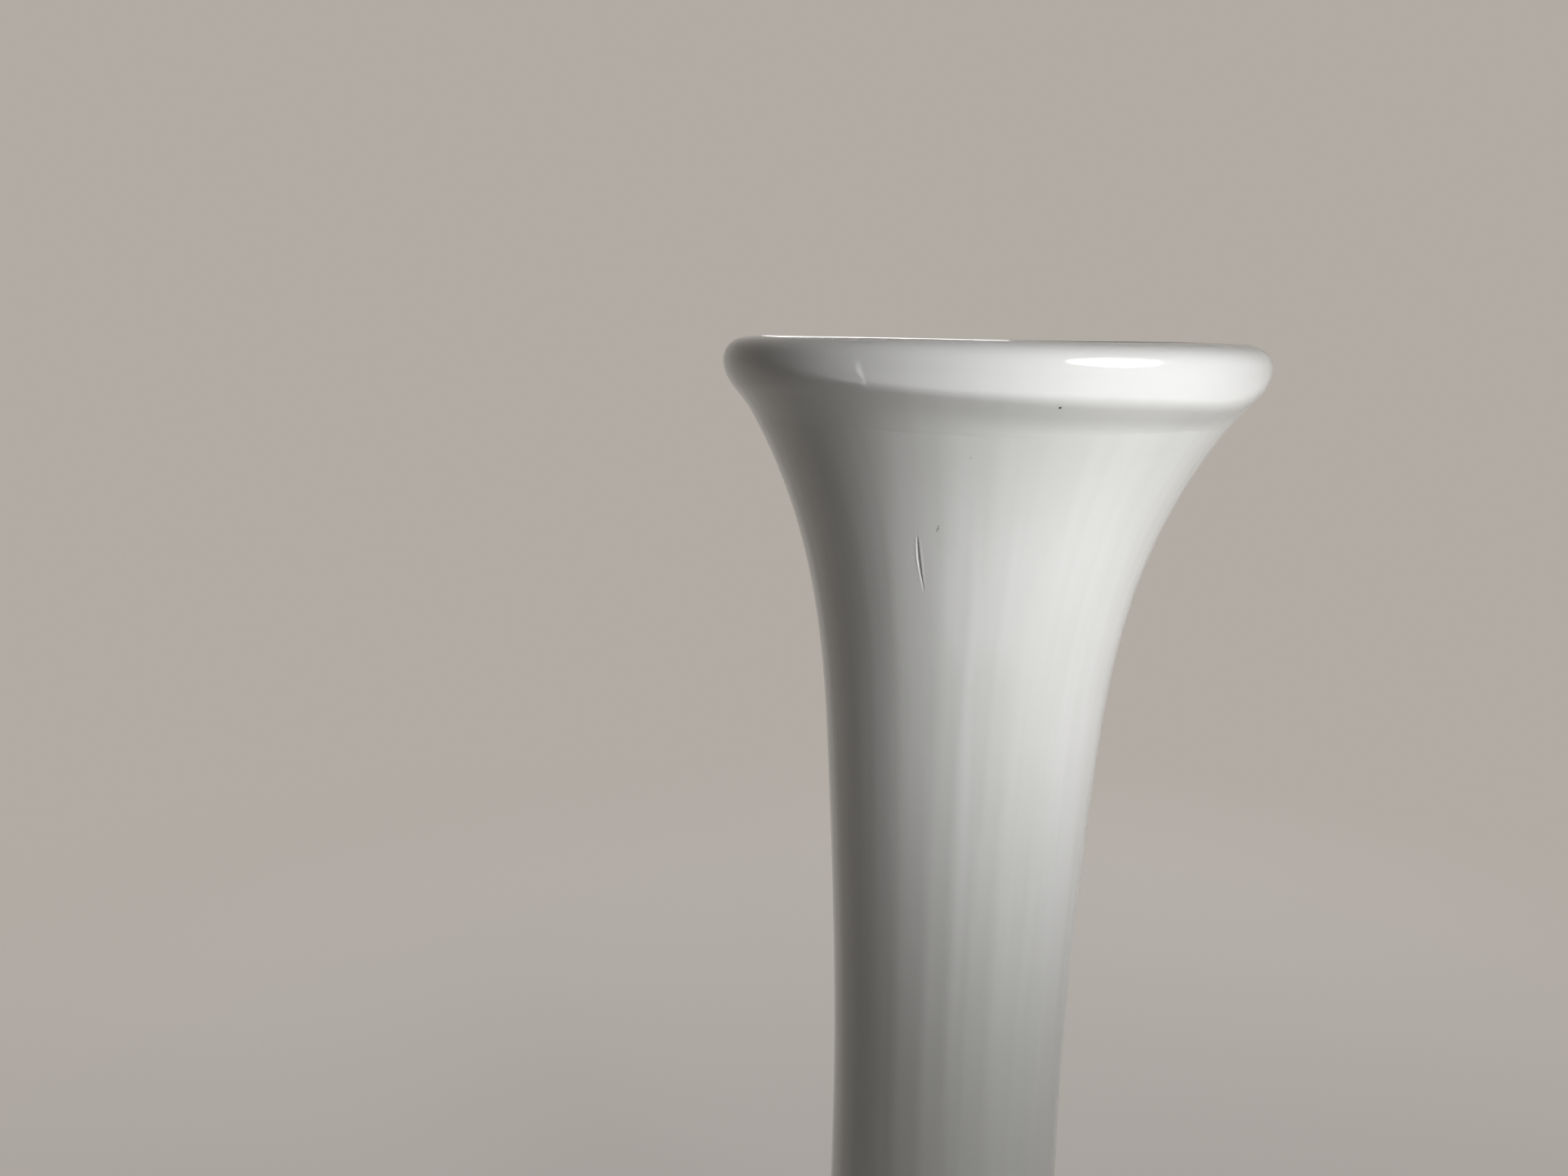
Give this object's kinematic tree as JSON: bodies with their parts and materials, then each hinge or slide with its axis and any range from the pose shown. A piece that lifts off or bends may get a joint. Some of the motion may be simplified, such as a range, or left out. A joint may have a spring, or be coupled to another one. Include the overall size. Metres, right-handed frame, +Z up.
{
  "type": "trumpet vase",
  "caption": "Tall trumpet vase of opaque white blown glass: flared mouth with a thick wound lip, long drawn-in neck and disc foot. Holds water and long-stemmed flowers.",
  "frame": {"origin": "centre of the circle that the vase stands on, at table level", "axes": "+Z up along the axis of the vase; the drawn bubble and the lap of the lip face -Y"},
  "size_m": [0.15, 0.15, 0.47],
  "materials": {
    "white_glass": "opaque white, fire-polished gloss",
    "clear_bumper": "clear soft polyurethane, satin"
  },
  "bodies": {
    "root": {"trumpet_body": "white_glass", "lip_wrap": "white_glass", "foot": "white_glass", "bumper_1": "clear_bumper", "bumper_2": "clear_bumper", "bumper_3": "clear_bumper", "bumper_4": "clear_bumper"}
  },
  "joints": []
}
